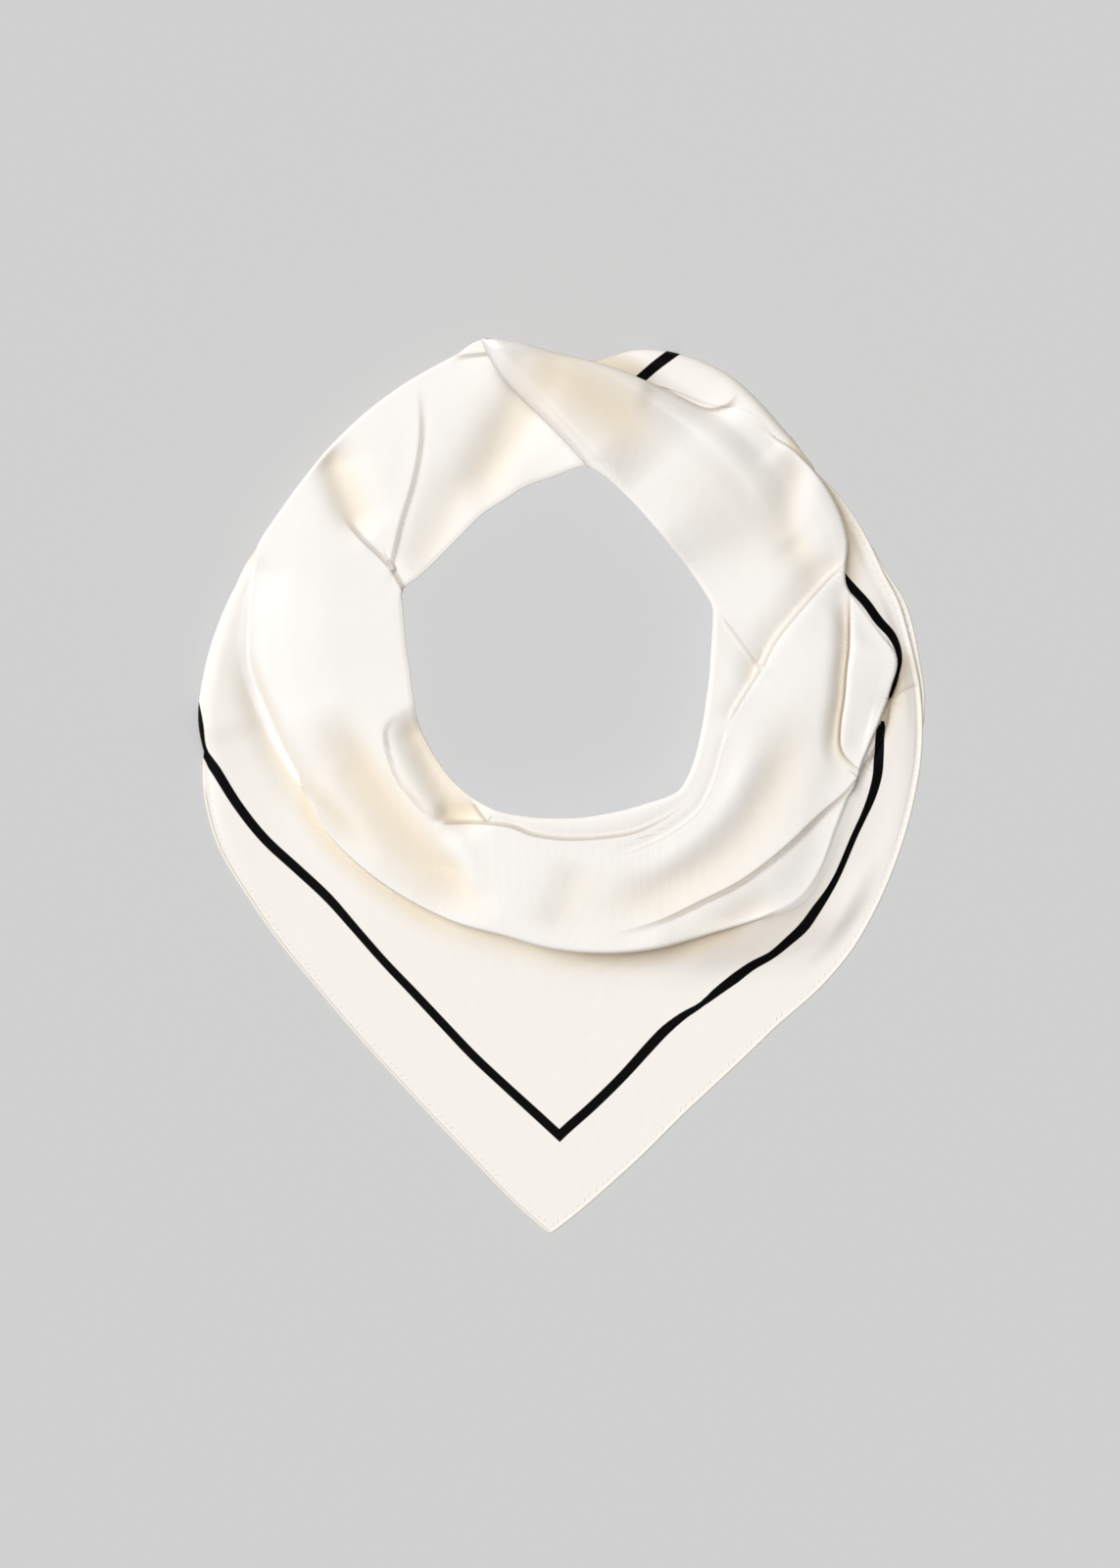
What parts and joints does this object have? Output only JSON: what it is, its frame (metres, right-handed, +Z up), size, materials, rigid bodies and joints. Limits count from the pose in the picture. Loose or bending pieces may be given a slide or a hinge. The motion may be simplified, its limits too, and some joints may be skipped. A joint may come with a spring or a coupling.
{
  "type": "square scarf",
  "caption": "Square silk scarf folded corner to corner and gathered into a collar round a neck opening, its ends crossed, lying flat.",
  "frame": {"origin": "centre of the scarf's outline, on the surface that it lies on", "axes": "+Z up from the surface, +Y from the point of the square towards the crossing at the nape, +X to the right of it seen from above"},
  "size_m": [0.3706, 0.4552, 0.0338],
  "materials": {
    "ivory_silk": "satin with a black border line"
  },
  "bodies": {
    "root": {"silk_square": "ivory_silk"}
  },
  "joints": []
}
